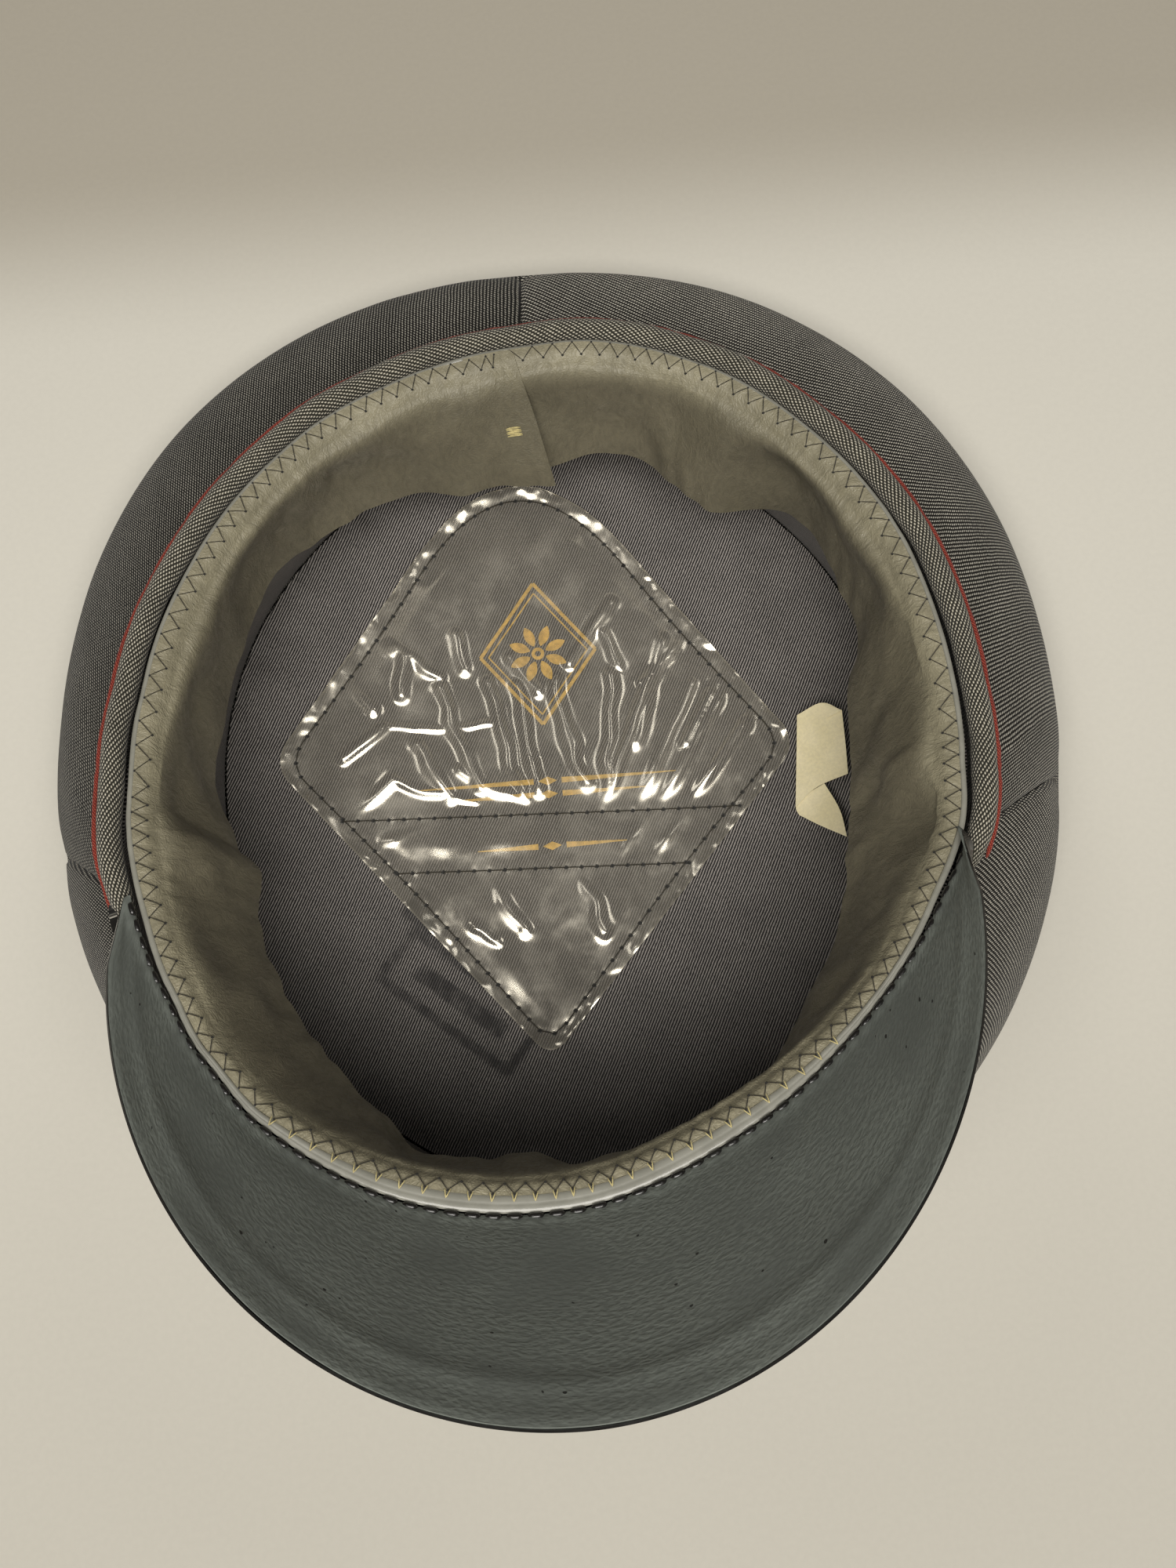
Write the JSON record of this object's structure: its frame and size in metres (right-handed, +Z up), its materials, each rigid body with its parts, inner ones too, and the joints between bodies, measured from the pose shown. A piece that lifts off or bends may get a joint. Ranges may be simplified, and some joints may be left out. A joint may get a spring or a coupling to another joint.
{
  "type": "visor cap",
  "caption": "Grey cloth visor cap lying upside down on its crown, with a stiff peak, piped rim, sweatband, lining and clear sweat shield.",
  "frame": {"origin": "middle of the flat of the crown, on the surface where the cap rests upside down", "axes": "+Z up out of the hollow, +Y towards the back of the cap, -Y towards the peak, +X to the right as seen with the peak near the viewer"},
  "size_m": [0.245, 0.2647, 0.1483],
  "materials": {
    "crown_cloth": "matt wool twill",
    "roll_cloth": "matt wool twill",
    "piping_cloth": "matt wool cord",
    "welt_plastic": "gloss",
    "sweatband_leather": "satin, finely grained",
    "peak_shell": "gloss",
    "peak_lining": "embossed, semi-matt",
    "lining_cloth": "fine twill with a slight sheen",
    "clear_film": "clear gloss film",
    "label_paper": "matt paper"
  },
  "bodies": {
    "root": {"crown_top": "crown_cloth", "crown_panel_front_right": "crown_cloth", "crown_panel_back_right": "crown_cloth", "crown_panel_back_left": "crown_cloth", "crown_panel_front_left": "crown_cloth", "band": "crown_cloth", "rim_roll": "roll_cloth", "piping": "piping_cloth", "sweatband_welt": "welt_plastic", "sweatband": "sweatband_leather", "peak": "peak_shell", "peak_lining": "peak_lining", "lining_side": "lining_cloth", "lining_top": "lining_cloth", "sweat_shield": "clear_film", "paper_label": "label_paper"}
  },
  "joints": []
}
